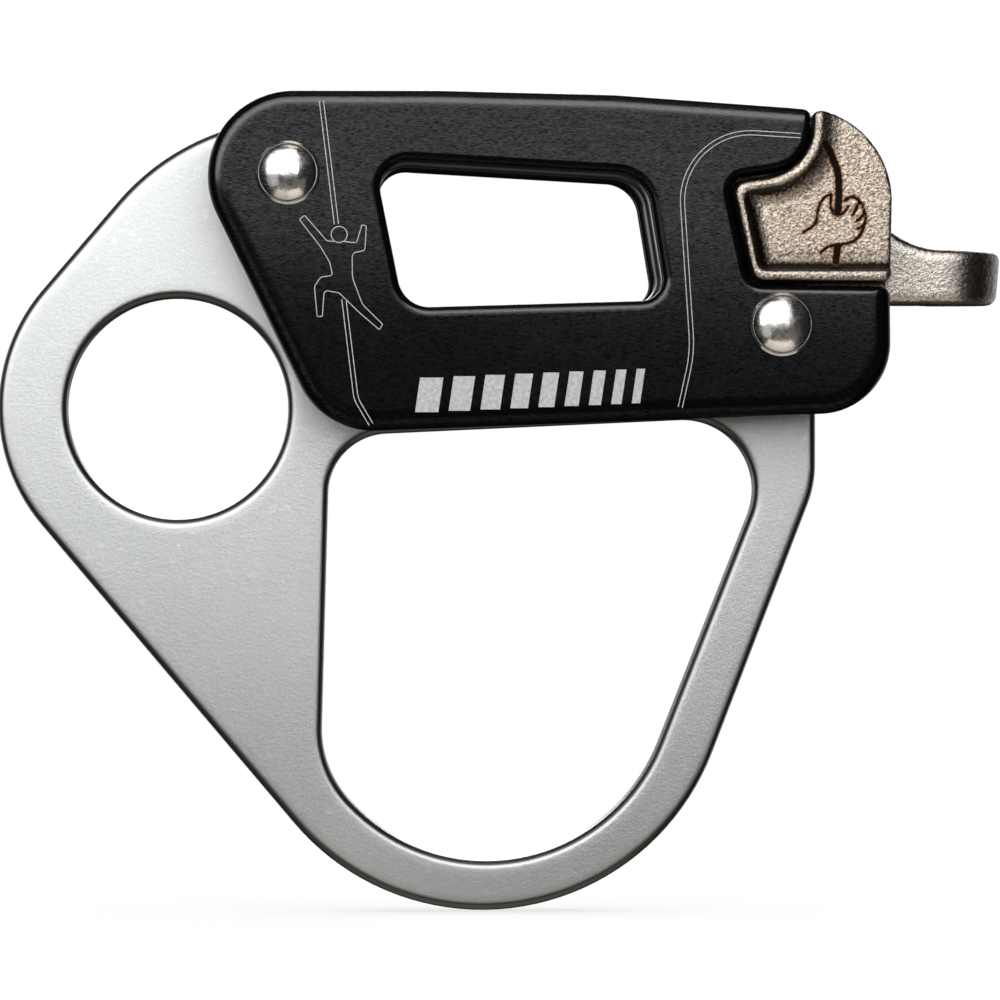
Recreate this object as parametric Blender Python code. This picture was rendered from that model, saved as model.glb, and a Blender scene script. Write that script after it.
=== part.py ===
"""Two-rope plate belay device: eight riveted pieces, modelled in metres with +Z up.

X runs along the device towards its brake nose, Y across the plates (front towards -Y)
and Z up. The origin is the centre of the whole device.
"""

import math

import bmesh
import bpy
from mathutils import Vector

MM = 0.001

# Driving dimensions, in millimetres.
PLATE_THICKNESS = 4.0
CHANNEL_WIDTH = 11.5
BRACKET_THICKNESS = 5.0
CLEARANCE = 0.3
OUTER_FILLET = 1.4
WINDOW_FILLET = 1.0
BRACKET_FILLET = 1.0
INNER_FACE_FILLET = 0.7
SHANK_RADIUS = 2.6
HEAD_RADIUS = 3.3
HEAD_LIP = 0.35
DOME_RADIUS = 2.97
DOME_HEIGHT = 1.55
SPACER_RADIUS = 4.2
SPACER_CHAMFER = 0.4

# How finely curves are divided, and the smallest corner radius that is kept.
ARC_STEP = math.radians(13)
SHARP_ANGLE = math.radians(35)
BORE_STEPS = 24
ROUND_STEPS = 32
EYE_STEPS = 40
DOME_STEPS = 6
SMALLEST_RADIUS = 0.12
# A full-round end is left this much short of a half circle, so that its corners stay apart.
FULL_ROUND_GAP = 0.02

# Where each layer starts and ends across the device, measured from the middle plane.
BRACKET_FACE = BRACKET_THICKNESS / 2
PLATE_INNER = BRACKET_FACE + CHANNEL_WIDTH
PLATE_OUTER = PLATE_INNER + PLATE_THICKNESS
BORE_RADIUS = SHANK_RADIUS + CLEARANCE

# Rivet centres (x, z).
LEFT_RIVET = (-23.0, 35.5)
RIGHT_RIVET = (29.9, 19.3)

# Outlines are corners (x, z, radius), clockwise seen from the front.
SIDE_PLATE = [
    (-37.1, 44.4, 9.2),
    (12.0, 44.4, 400.0),
    (32.9, 42.4, 0.9),
    (32.9, 35.7, 5.1),
    (24.3, 34.6, 1.1),
    (26.6, 23.9, 1.5),
    (41.6, 23.7, 1.1),
    (41.6, 10.2, 7.8),
    (-19.2, 7.7, 8.8),
]
WINDOW = [(-13.8, 37.0, 3.0), (15.4, 35.3, 3.8), (17.6, 21.9, 2.4), (-10.6, 21.1, 3.4)]
BRACKET = [
    (-33.6, 42.3, 25.8),
    (22.0, 41.0, 2.0),
    (22.0, 23.9, 1.5),
    (34.6, 23.9, 4.0),
    (34.6, 2.0, 12.0),
    (7.0, -69.8, 27.0),
    (-60.8, 10.45, 19.7),
]
LOOP_HOLE = [(-18.5, 7.3, 6.6), (31.6, 9.6, 7.6), (5.9, -55.6, 20.3), (-19.5, -29.3, 11.5)]
EYE_CENTRE = (-35.1, 10.3)
EYE_RADIUS = 12.05

# Brake saddle: the cheek fills the side plate's cut-out and shows on the outside.
CHEEK = [
    (33.2, 42.35, 0.6),
    (41.8, 39.6, 11.0),
    (41.6, 24.1, 1.0),
    (26.9, 24.2, 1.2),
    (24.65, 34.35, 0.8),
    (33.2, 35.4, 5.4),
]
CHEEK_FILLET = 0.6
CHEEK_INNER_FILLET = 0.1
CHEEK_OVERLAP = 1.0
PANEL = [
    (34.0, 46.0, 0.5),
    (46.0, 46.0, 0.5),
    (46.0, 25.0, 0.5),
    (27.35, 25.0, 1.0),
    (25.55, 33.55, 1.0),
    (34.0, 34.55, 6.2),
]
PANEL_DEPTH = 1.2
PANEL_SLOPE = 1.4
# The core lies between the plates and carries one V groove for each rope.
CORE_LEFT = 22.4
CORE_RIGHT = 41.3
CORE_TOP = 40.8
CORE_BOTTOM = 24.2
CORE_CORNER = 9.2
CORE_FOOT_RIGHT = 1.0
CORE_FOOT_LEFT = 1.5
CORE_RIM = 1.2
GROOVE_DEPTH = 5.8
GROOVE_SIDE_SHARE = 0.55
GROOVE_CENTRE = BRACKET_FACE + CHANNEL_WIDTH / 2
GROOVE_BOTTOM_HALF = 1.6
GROOVE_BOTTOM_RISE = 0.45
WEB_DEPTH = 1.2
WEB_EDGE = 0.6
# Lugs reach down from the core on both sides of the bracket to the right rivet.
LUG_HALF_WIDTH = 4.9
LUG_BOTTOM = RIGHT_RIVET[1] - LUG_HALF_WIDTH
LUG_OVERLAP = 1.5
LUG_TOP_CORNER = 0.3
# The release nose stands out to the right and carries an upright eye.
NOSE_TIP = 54.8
NOSE_HALF_WIDTH = 5.4
NOSE_EYE_RADIUS = 2.7
NOSE_SIDE = [
    (38.5, 30.85, 0.5),
    (40.9, 30.85, 0.8),
    (45.2, 27.8, 9.5),
    (54.8, 27.35, 0.8),
    (54.3, 21.5, 0.5),
    (36.0, 21.6, 0.5),
]
NOSE_ROOT = 34.5
NOSE_ROOT_CORNER = 0.5
# The nose's plan and eye are cut by upright tools that reach from the first height to the second.
NOSE_TOOL_BOTTOM = 10.0
NOSE_TOOL_TOP = 40.0


def clear_scene():
    for scene_object in list(bpy.data.objects):
        bpy.data.objects.remove(scene_object, do_unlink=True)


def make_material(name, colour, metallic, roughness):
    material = bpy.data.materials.new(name)
    material.use_nodes = True
    shader = material.node_tree.nodes["Principled BSDF"]
    shader.inputs["Base Color"].default_value = (*colour, 1.0)
    shader.inputs["Metallic"].default_value = metallic
    shader.inputs["Roughness"].default_value = roughness
    return material


def offset_corners(corners, inset):
    """Move every edge of a clockwise outline inwards and return its new corners."""
    sides = []
    for index, (x, z, _) in enumerate(corners):
        start = Vector((x, z))
        end = Vector(corners[(index + 1) % len(corners)][:2])
        along = (end - start).normalized()
        inward = Vector((along.y, -along.x))
        sides.append((start + inward * inset, along))
    moved = []
    for index, (_, _, radius) in enumerate(corners):
        point_a, along_a = sides[index - 1]
        point_b, along_b = sides[index]
        turn = along_a.x * along_b.y - along_a.y * along_b.x
        between = point_b - point_a
        reach = (between.x * along_b.y - between.y * along_b.x) / turn
        corner = point_a + along_a * reach
        new_radius = radius - inset if turn < 0 else radius + inset
        moved.append((corner.x, corner.y, max(new_radius, SMALLEST_RADIUS)))
    return moved


def rounded_outline(corners, inset=0.0):
    """Points of a clockwise outline whose corners are arcs; the count ignores the inset."""
    points = []
    moved = offset_corners(corners, inset)
    for index, (x, z, radius) in enumerate(moved):
        corner = Vector((x, z))
        back = (Vector(moved[index - 1][:2]) - corner).normalized()
        ahead = (Vector(moved[(index + 1) % len(moved)][:2]) - corner).normalized()
        opening = back.angle(ahead)
        sweep = math.pi - opening
        steps = max(2, math.ceil(sweep / ARC_STEP))
        centre = corner + (back + ahead).normalized() * radius / math.sin(opening / 2)
        start = corner + back * (radius / math.tan(opening / 2)) - centre
        start_angle = math.atan2(start.y, start.x)
        clockwise = back.x * ahead.y - back.y * ahead.x > 0
        signed_sweep = -sweep if clockwise else sweep
        for step in range(steps + 1):
            angle = start_angle + signed_sweep * step / steps
            points.append((centre.x + radius * math.cos(angle), centre.y + radius * math.sin(angle)))
    return points


def circle_outline(centre, radius, steps):
    """Points of a circle, clockwise."""
    angles = [-2 * math.pi * step / steps for step in range(steps)]
    return [(centre[0] + radius * math.cos(a), centre[1] + radius * math.sin(a)) for a in angles]


def fillet_profile(front, back, front_fillet, back_fillet, steps=2):
    """(inset, y) pairs that go round a plate's edge from its front face to its back face."""
    profile = []
    for step in range(steps + 1):
        angle = math.pi / 2 * step / steps
        profile.append((front_fillet * (1 - math.sin(angle)), front + front_fillet * (1 - math.cos(angle))))
    for step in range(steps + 1):
        angle = math.pi / 2 * step / steps
        profile.append((back_fillet * (1 - math.cos(angle)), back - back_fillet * (1 - math.sin(angle))))
    return profile


def add_wall(mesh, rings):
    """Skin a wall through rings of (x, y, z) points and return its first and last edge rings."""
    vertex_rings = [[mesh.verts.new(Vector(point) * MM) for point in ring] for ring in rings]
    count = len(vertex_rings[0])
    for ring_a, ring_b in zip(vertex_rings, vertex_rings[1:]):
        for index in range(count):
            following = (index + 1) % count
            mesh.faces.new((ring_a[index], ring_a[following], ring_b[following], ring_b[index]))
    ends = []
    for ring in (vertex_rings[0], vertex_rings[-1]):
        ends.append([mesh.edges.get((ring[i], ring[(i + 1) % count])) for i in range(count)])
    return ends


def finish_mesh(name, mesh, material):
    bmesh.ops.recalc_face_normals(mesh, faces=mesh.faces)
    if mesh.calc_volume(signed=True) < 0:
        bmesh.ops.reverse_faces(mesh, faces=mesh.faces)
    data = bpy.data.meshes.new(name)
    mesh.to_mesh(data)
    mesh.free()
    data.materials.append(material)
    data.shade_smooth()
    data.set_sharp_from_angle(angle=SHARP_ANGLE)
    made = bpy.data.objects.new(name, data)
    bpy.context.scene.collection.objects.link(made)
    return made


def make_plate(name, walls, material):
    """A plate from its walls; each wall is (outline function, profile of (inset, y))."""
    mesh = bmesh.new()
    front_edges = []
    back_edges = []
    for outline, profile in walls:
        rings = [[(x, y, z) for x, z in outline(inset)] for inset, y in profile]
        first, last = add_wall(mesh, rings)
        front_edges += first
        back_edges += last
    for edges in (front_edges, back_edges):
        bmesh.ops.triangle_fill(mesh, use_beauty=True, edges=edges)
    return finish_mesh(name, mesh, material)


def make_prism(name, corners, front, back, material, fillets=(0.0, 0.0)):
    """A solid block with a rounded outline, from one y to another."""
    if max(fillets) > 0:
        profile = fillet_profile(front, back, *fillets)
    else:
        profile = [(0.0, front), (0.0, back)]
    return make_plate(name, [(lambda inset: rounded_outline(corners, inset), profile)], material)


def make_turned(name, centre, profile, material, steps):
    """A closed solid of revolution about an axis along Y; profile is (radius, y) pairs."""
    mesh = bmesh.new()
    rings = []
    for radius, y in profile:
        rings.append([(x, y, z) for x, z in circle_outline(centre, radius, steps)])
    for end in add_wall(mesh, rings):
        bmesh.ops.edgeloop_fill(mesh, edges=end)
    return finish_mesh(name, mesh, material)


def use_as_tool(target, tool, operation):
    """Join or cut the target with a construction solid that is not a piece itself."""
    modifier = target.modifiers.new(tool.name, "BOOLEAN")
    modifier.operation = operation
    modifier.solver = "EXACT"
    modifier.object = tool
    tool.hide_render = True
    tool.display_type = "WIRE"


def window_wall(profile):
    return (lambda inset: rounded_outline(WINDOW, -inset), profile)


def round_wall(centre, radius, profile, steps):
    return (lambda inset: circle_outline(centre, radius + inset, steps), profile)


def side_plate(name, side, material):
    """One black side plate; side is -1 for the front one and +1 for the rear one."""
    ends = sorted((side * PLATE_INNER, side * PLATE_OUTER))
    outer_fillets = (OUTER_FILLET, INNER_FACE_FILLET)
    window_fillets = (WINDOW_FILLET, INNER_FACE_FILLET)
    if side > 0:
        outer_fillets = outer_fillets[::-1]
        window_fillets = window_fillets[::-1]
    rim = fillet_profile(*ends, *outer_fillets)
    straight = [(0.0, ends[0]), (0.0, ends[1])]
    walls = [
        (lambda inset: rounded_outline(SIDE_PLATE, inset), rim),
        window_wall(fillet_profile(*ends, *window_fillets)),
        round_wall(LEFT_RIVET, BORE_RADIUS, straight, BORE_STEPS),
        round_wall(RIGHT_RIVET, BORE_RADIUS, straight, BORE_STEPS),
    ]
    return make_plate(name, walls, material)


def centre_bracket(material):
    """The silver bracket with the hanging eye, the window, the carabiner loop and two bores."""
    profile = fillet_profile(-BRACKET_FACE, BRACKET_FACE, BRACKET_FILLET, BRACKET_FILLET)
    straight = [(0.0, -BRACKET_FACE), (0.0, BRACKET_FACE)]
    walls = [
        (lambda inset: rounded_outline(BRACKET, inset), profile),
        (lambda inset: rounded_outline(LOOP_HOLE, -inset), profile),
        window_wall(profile),
        round_wall(EYE_CENTRE, EYE_RADIUS, profile, EYE_STEPS),
        round_wall(LEFT_RIVET, BORE_RADIUS, straight, BORE_STEPS),
        round_wall(RIGHT_RIVET, BORE_RADIUS, straight, BORE_STEPS),
    ]
    return make_plate("centre_bracket", walls, material)


def groove_depth(y):
    """How far the core's outline is drawn in at a station across the device."""
    away = abs(abs(y) - GROOVE_CENTRE)
    if away < GROOVE_BOTTOM_HALF:
        return GROOVE_DEPTH - GROOVE_BOTTOM_RISE * (away / GROOVE_BOTTOM_HALF) ** 2
    fall = (away - GROOVE_BOTTOM_HALF) / (CHANNEL_WIDTH / 2 - GROOVE_BOTTOM_HALF)
    crest = 0.0 if abs(y) > GROOVE_CENTRE else WEB_DEPTH
    start = GROOVE_DEPTH - GROOVE_BOTTOM_RISE
    return start + (crest - start) * min(fall, 1.0)


def core_outline(depth):
    side = depth * GROOVE_SIDE_SHARE
    corner = CORE_CORNER - side
    corners = [
        (CORE_LEFT + side, CORE_TOP - depth, corner),
        (CORE_RIGHT - side, CORE_TOP - depth, corner),
        (CORE_RIGHT - side, CORE_BOTTOM, CORE_FOOT_RIGHT),
        (CORE_LEFT + side, CORE_BOTTOM, CORE_FOOT_LEFT),
    ]
    return rounded_outline(corners)


def saddle_core(material):
    """Body between the plates with two V grooves, lofted across the device."""
    edge = PLATE_INNER - CLEARANCE
    bottom = [GROOVE_CENTRE + GROOVE_BOTTOM_HALF * share for share in (1.0, 0.5, 0.0, -0.5, -1.0)]
    half = [edge, edge - CORE_RIM, *bottom, BRACKET_FACE + WEB_EDGE]
    stations = [-y for y in half] + half[::-1]
    mesh = bmesh.new()
    rings = [[(x, y, z) for x, z in core_outline(groove_depth(y))] for y in stations]
    for end in add_wall(mesh, rings):
        bmesh.ops.edgeloop_fill(mesh, edges=end)
    return finish_mesh("brake_saddle", mesh, material)


def panel_cutter(side, material):
    """Tool for the sunk panel of a cheek; its walls slope in towards the floor."""
    floor = side * (PLATE_OUTER - PANEL_DEPTH)
    above = side * (PLATE_OUTER + PANEL_DEPTH)
    profile = [(PANEL_SLOPE, floor), (-PANEL_SLOPE, above)]
    walls = [(lambda inset: rounded_outline(PANEL, inset), sorted(profile, key=lambda pair: pair[1]))]
    return make_plate(f"panel_tool_{'front' if side < 0 else 'rear'}", walls, material)


def saddle_nose(material):
    """Tongue with an upright eye: its side shape cut to a round-ended plan."""
    half = NOSE_HALF_WIDTH
    nose = make_prism("nose_tool", NOSE_SIDE, -half, half, material)
    plan = [
        (NOSE_ROOT, half, NOSE_ROOT_CORNER),
        (NOSE_TIP, half, half - FULL_ROUND_GAP),
        (NOSE_TIP, -half, half - FULL_ROUND_GAP),
        (NOSE_ROOT, -half, NOSE_ROOT_CORNER),
    ]
    plan_tool = make_prism("nose_plan_tool", plan, -NOSE_TOOL_TOP, -NOSE_TOOL_BOTTOM, material)
    plan_tool.rotation_euler = (math.radians(-90), 0.0, 0.0)
    use_as_tool(nose, plan_tool, "INTERSECT")
    return nose


def eye_cutter(material):
    centre = (NOSE_TIP - NOSE_HALF_WIDTH, 0.0)
    profile = [(NOSE_EYE_RADIUS, -NOSE_TOOL_TOP), (NOSE_EYE_RADIUS, -NOSE_TOOL_BOTTOM)]
    cutter = make_turned("nose_eye_tool", centre, profile, material, BORE_STEPS)
    cutter.rotation_euler = (math.radians(-90), 0.0, 0.0)
    return cutter


def brake_saddle(material):
    """The steel casting: core, two cheeks, two lugs and the nose, in one body."""
    saddle = saddle_core(material)
    lug_left = RIGHT_RIVET[0] - LUG_HALF_WIDTH
    lug_right = RIGHT_RIVET[0] + LUG_HALF_WIDTH
    lug_corners = [
        (lug_left, CORE_BOTTOM + LUG_OVERLAP, LUG_TOP_CORNER),
        (lug_right, CORE_BOTTOM + LUG_OVERLAP, LUG_TOP_CORNER),
        (lug_right, LUG_BOTTOM, LUG_HALF_WIDTH - FULL_ROUND_GAP),
        (lug_left, LUG_BOTTOM, LUG_HALF_WIDTH - FULL_ROUND_GAP),
    ]
    for side, label in ((-1, "front"), (1, "rear")):
        inner = side * (BRACKET_FACE + CLEARANCE)
        outer = side * (PLATE_INNER - CLEARANCE)
        lug = make_prism(f"lug_tool_{label}", lug_corners, *sorted((inner, outer)), material)
        use_as_tool(saddle, lug, "UNION")
        ends = sorted((side * (PLATE_INNER - CHEEK_OVERLAP), side * PLATE_OUTER))
        fillets = (CHEEK_FILLET, CHEEK_INNER_FILLET)[::-side]
        cheek = make_prism(f"cheek_tool_{label}", CHEEK, *ends, material, fillets)
        use_as_tool(cheek, panel_cutter(side, material), "DIFFERENCE")
        use_as_tool(saddle, cheek, "UNION")
    use_as_tool(saddle, saddle_nose(material), "UNION")
    bore_profile = [(BORE_RADIUS, -PLATE_INNER), (BORE_RADIUS, PLATE_INNER)]
    bore = make_turned("lug_bore_tool", RIGHT_RIVET, bore_profile, material, BORE_STEPS)
    use_as_tool(saddle, bore, "DIFFERENCE")
    use_as_tool(saddle, eye_cutter(material), "DIFFERENCE")
    return saddle


def spacer(name, side, material):
    """Tube round the left rivet that holds one rope channel open."""
    ends = sorted((side * (BRACKET_FACE + CLEARANCE), side * (PLATE_INNER - CLEARANCE)))
    straight = [(0.0, ends[0]), (0.0, ends[1])]
    rim = [
        (SPACER_CHAMFER, ends[0]),
        (0.0, ends[0] + SPACER_CHAMFER),
        (0.0, ends[1] - SPACER_CHAMFER),
        (SPACER_CHAMFER, ends[1]),
    ]
    walls = [
        (lambda inset: circle_outline(LEFT_RIVET, SPACER_RADIUS - inset, ROUND_STEPS), rim),
        round_wall(LEFT_RIVET, BORE_RADIUS, straight, BORE_STEPS),
    ]
    return make_plate(name, walls, material)


def rivet_half_profile(side):
    """(radius, y) from the head's crown to its seat on one side of the device."""
    seat = PLATE_OUTER + CLEARANCE
    lip = seat + HEAD_LIP
    profile = []
    for step in range(1, DOME_STEPS + 1):
        angle = math.pi / 2 * step / DOME_STEPS
        profile.append((DOME_RADIUS * math.sin(angle), side * (lip + DOME_HEIGHT * math.cos(angle))))
    profile.append((HEAD_RADIUS, side * lip))
    profile.append((HEAD_RADIUS, side * seat))
    profile.append((SHANK_RADIUS, side * seat))
    return profile


def rivet(name, centre, material):
    """Solid rivet with a dome formed on both ends."""
    profile = rivet_half_profile(-1) + rivet_half_profile(1)[::-1]
    return make_turned(name, centre, profile, material, ROUND_STEPS)


def build():
    clear_scene()
    black = make_material("black_anodised_aluminium", (0.018, 0.019, 0.021), 0.55, 0.42)
    silver = make_material("matte_anodised_aluminium", (0.56, 0.58, 0.57), 0.85, 0.5)
    steel = make_material("cast_stainless_steel", (0.50, 0.43, 0.36), 0.95, 0.38)
    polished = make_material("polished_steel", (0.78, 0.76, 0.73), 1.0, 0.12)
    side_plate("front_side_plate", -1, black)
    side_plate("rear_side_plate", 1, black)
    centre_bracket(silver)
    brake_saddle(steel)
    spacer("left_front_spacer", -1, silver)
    spacer("left_rear_spacer", 1, silver)
    rivet("left_rivet", LEFT_RIVET, polished)
    rivet("right_rivet", RIGHT_RIVET, polished)


build()
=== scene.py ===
import math

import bmesh
import bpy
import numpy as np
from mathutils import Matrix, Vector


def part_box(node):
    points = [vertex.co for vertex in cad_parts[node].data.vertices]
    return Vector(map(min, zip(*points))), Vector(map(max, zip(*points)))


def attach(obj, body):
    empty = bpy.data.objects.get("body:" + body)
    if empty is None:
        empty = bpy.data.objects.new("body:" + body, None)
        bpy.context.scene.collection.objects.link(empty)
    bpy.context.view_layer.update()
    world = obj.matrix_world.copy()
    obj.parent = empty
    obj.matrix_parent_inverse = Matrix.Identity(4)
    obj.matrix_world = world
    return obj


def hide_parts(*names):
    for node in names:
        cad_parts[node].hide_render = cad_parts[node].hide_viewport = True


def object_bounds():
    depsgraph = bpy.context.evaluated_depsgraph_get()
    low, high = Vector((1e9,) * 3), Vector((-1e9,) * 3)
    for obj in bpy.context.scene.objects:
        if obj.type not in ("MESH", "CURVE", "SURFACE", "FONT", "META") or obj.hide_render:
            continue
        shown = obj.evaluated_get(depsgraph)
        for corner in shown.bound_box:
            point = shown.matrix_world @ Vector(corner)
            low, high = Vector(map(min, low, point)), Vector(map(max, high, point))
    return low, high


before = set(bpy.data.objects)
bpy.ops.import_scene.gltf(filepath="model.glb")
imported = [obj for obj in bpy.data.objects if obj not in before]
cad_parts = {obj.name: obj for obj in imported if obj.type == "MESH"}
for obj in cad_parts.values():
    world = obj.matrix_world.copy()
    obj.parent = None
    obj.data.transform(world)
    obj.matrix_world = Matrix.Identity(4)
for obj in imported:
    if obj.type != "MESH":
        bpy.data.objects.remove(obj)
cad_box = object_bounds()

# Shapes are in millimetres until they reach a mesh. Materials, lights and the camera are in metres.
MM = 0.001
FINE_ARC = math.radians(3)
COARSE_ARC = math.radians(5)
FILLET_STEPS = 7
ROLL_STEPS = 5
BORE_STEPS = 72
EYE_STEPS = 144
TURNED_STEPS = 96
# A narrow flat band keeps the shading of a fillet off the face beside it.
FLAT_BAND = 0.06
# Keeps the arcs of a full round end, and walls that would meet exactly, a little apart.
HAIR = 0.02
# How far the formed rivet heads and the nose's end stand past the CAD ones.
HEAD_SPREAD = 0.15
NOSE_OVERRUN = 0.25

# ---------------------------------------------------------------- places from the frame


def box_mm(node):
    low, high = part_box(node)
    return Vector(low) / MM, Vector(high) / MM


def width_mm(node):
    low, high = box_mm(node)
    return high.x - low.x


def centre_xz(node):
    low, high = box_mm(node)
    return ((low.x + high.x) / 2, (low.z + high.z) / 2)


LEFT_RIVET = centre_xz("left_rivet")
RIGHT_RIVET = centre_xz("right_rivet")
PLATE_FRONT, PLATE_BACK = (corner.y for corner in box_mm("front_side_plate"))
PLATE_OUTER = -PLATE_FRONT
PLATE_INNER = -PLATE_BACK
BRACKET_FACE = box_mm("centre_bracket")[1].y
SPACER_INNER, SPACER_OUTER = (corner.y for corner in box_mm("left_rear_spacer"))
SPACER_RADIUS = width_mm("left_rear_spacer") / 2
FORMED_RADIUS = width_mm("left_rivet") / 2 + HEAD_SPREAD
HEAD_TOP = box_mm("left_rivet")[1].y
NOSE_TIP = box_mm("brake_saddle")[1].x + NOSE_OVERRUN
CHANNEL_CENTRE = (BRACKET_FACE + PLATE_INNER) / 2
CLEARANCE = SPACER_INNER - BRACKET_FACE
SHANK_RADIUS = 2.6
BORE_RADIUS = SHANK_RADIUS + CLEARANCE

# ---------------------------------------------------------------- outlines
# Corners (x, z, radius), clockwise seen from the front.
SIDE_PLATE = [
    (-37.1, 44.4, 9.2),
    (12.0, 44.4, 400.0),
    (33.1, 42.4, 0.9),
    (32.9, 36.2, 4.6),
    (24.15, 34.8, 1.6),
    (26.55, 23.6, 1.8),
    (41.6, 23.4, 1.1),
    (41.75, 10.0, 7.7),
    (-19.2, 7.7, 8.8),
]
WINDOW = [(-13.8, 37.0, 3.0), (15.4, 35.3, 3.8), (17.6, 21.9, 2.4), (-10.6, 21.1, 3.4)]
BRACKET = [
    (-33.6, 42.3, 25.8),
    (22.0, 41.0, 2.0),
    (22.0, 23.9, 1.5),
    (34.6, 23.9, 4.0),
    (34.6, 2.0, 12.0),
    (7.0, -69.8, 27.0),
    (-60.8, 10.45, 19.7),
]
LOOP_HOLE = [(-18.5, 7.3, 6.6), (31.6, 9.6, 7.6), (5.9, -55.6, 20.3), (-19.5, -29.3, 11.5)]
EYE_CENTRE = (-35.1, 10.3)
EYE_RADIUS = 12.05
OUTER_FILLET = 1.3
OUTER_ROLL = 1.0
ROLL_LEAN = math.radians(13)
# Edges along the saddle's cut-out, counted from the first corner, and how narrow their fillet is.
CUT_OUT_EDGES = (2, 3, 4, 5)
CUT_OUT_SHARE = 0.45
WINDOW_FILLET = 1.0
BRACKET_FILLET = 0.85
BRACKET_ROLL = 0.9
BRACKET_LEAN = math.radians(2.4)
INNER_FILLET = 0.7
BORE_FILLET = 0.12
SMALLEST_RADIUS = 0.5

CHEEK = [
    (33.2, 42.6, 0.8),
    (41.95, 39.95, 10.0),
    (41.7, 23.75, 1.0),
    (26.85, 23.85, 1.6),
    (24.5, 34.5, 1.4),
    (33.2, 35.9, 5.6),
]
CHEEK_FILLET = 0.75
PANEL_RIM = [
    (34.2, 46.0, 0.5),
    (46.0, 46.0, 0.5),
    (46.0, 25.0, 0.5),
    (27.4, 25.0, 1.0),
    (25.6, 33.65, 0.9),
    (34.2, 34.95, 6.4),
]
PANEL_FLOOR = [
    (36.7, 46.0, 0.5),
    (46.0, 46.0, 0.5),
    (46.0, 26.6, 0.5),
    (29.1, 26.6, 0.5),
    (27.93, 32.2, 0.6),
    (36.7, 33.2, 7.0),
]
PANEL_DEPTH = 1.85
PANEL_TILT = math.tan(math.radians(3))
PANEL_STEEPNESS = 2.3
CORE_LEFT = 22.4
CORE_RIGHT = 41.3
CORE_TOP = 41.3
CORE_BOTTOM = 24.2
GROOVE_DEPTH = 5.8
GROOVE_SIDE_SHARE = 0.55
CORE_CORNER = 9.2
LUG_HALF_WIDTH = 4.9
LUG_OVERLAP = 1.5
# A thin ledge of the core stands behind the narrow gap under each cheek.
LEDGE = [(33.0, 26.0, 0.3), (41.4, 26.0, 0.3), (41.4, 22.3, 0.4), (33.0, 22.3, 0.3)]
LEDGE_DEPTH = 2.0
NOSE_HALF_WIDTH = 5.4
NOSE_EYE_RADIUS = 2.7
NOSE_ROOT = [
    (37.0, 30.85, 0.5),
    (40.9, 30.85, 0.5),
    (45.2, 27.80, 9.6),
    (48.5, 27.66, 0.5),
    (48.5, 21.65, 0.5),
    (36.0, 21.65, 0.5),
]
NOSE_TOP = 27.75
NOSE_BOTTOM = 21.6
NOSE_EDGE = 1.1
NOSE_DRAFT = 0.5
NOSE_FALL = 0.035
TONGUE_LENGTH = 9.5
TONGUE_FALL_LENGTH = 9.0

# ---------------------------------------------------------------- outline and mesh helpers


def offset_corners(corners, inset, narrow=()):
    """Move every edge of a clockwise outline inwards, the narrow ones less, and return the corners."""
    insets = [inset * (CUT_OUT_SHARE if index in narrow else 1.0) for index in range(len(corners))]
    sides = []
    for index, (x, z, _) in enumerate(corners):
        start = Vector((x, z))
        end = Vector(corners[(index + 1) % len(corners)][:2])
        along = (end - start).normalized()
        sides.append((start + Vector((along.y, -along.x)) * insets[index], along))
    moved = []
    for index, (_, _, radius) in enumerate(corners):
        point_a, along_a = sides[index - 1]
        point_b, along_b = sides[index]
        turn = along_a.x * along_b.y - along_a.y * along_b.x
        between = point_b - point_a
        reach = (between.x * along_b.y - between.y * along_b.x) / turn
        corner = point_a + along_a * reach
        change = (insets[index - 1] + insets[index]) / 2
        new_radius = radius - change if turn < 0 else radius + change
        moved.append((corner.x, corner.y, max(new_radius, min(radius, SMALLEST_RADIUS))))
    return moved


def corner_arc(before, corner, after, radius, arc_step):
    """Points of the arc that rounds one corner of a path."""
    back = (before - corner).normalized()
    ahead = (after - corner).normalized()
    opening = back.angle(ahead)
    sweep = math.pi - opening
    steps = max(2, math.ceil(sweep / arc_step))
    centre = corner + (back + ahead).normalized() * radius / math.sin(opening / 2)
    start = corner + back * (radius / math.tan(opening / 2)) - centre
    start_angle = math.atan2(start.y, start.x)
    clockwise = back.x * ahead.y - back.y * ahead.x > 0
    signed_sweep = -sweep if clockwise else sweep
    angles = [start_angle + signed_sweep * step / steps for step in range(steps + 1)]
    return [(centre.x + radius * math.cos(a), centre.y + radius * math.sin(a)) for a in angles]


def rounded_outline(corners, inset=0.0, arc_step=FINE_ARC, narrow=()):
    points = []
    moved = offset_corners(corners, inset, narrow)
    for index, (x, z, radius) in enumerate(moved):
        before = Vector(moved[index - 1][:2])
        after = Vector(moved[(index + 1) % len(moved)][:2])
        points += corner_arc(before, Vector((x, z)), after, radius, arc_step)
    return points


def circle_outline(centre, radius, steps):
    angles = [-2 * math.pi * step / steps for step in range(steps)]
    return [(centre[0] + radius * math.cos(a), centre[1] + radius * math.sin(a)) for a in angles]


def quarter_turn(steps):
    """The angles of a quarter turn, with both ends."""
    return [math.pi / 2 * step / steps for step in range(steps + 1)]


def fillet_profile(front, back, front_fillet, back_fillet):
    """(inset, y) pairs round a plate's edge from its front face to its back face."""
    profile = [(front_fillet + FLAT_BAND, front)]
    for angle in quarter_turn(FILLET_STEPS):
        inset = front_fillet * (1 - math.sin(angle))
        profile.append((inset, front + front_fillet * (1 - math.cos(angle))))
    for angle in quarter_turn(FILLET_STEPS):
        inset = back_fillet * (1 - math.cos(angle))
        profile.append((inset, back - back_fillet * (1 - math.sin(angle))))
    return profile + [(back_fillet + FLAT_BAND, back)]


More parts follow.
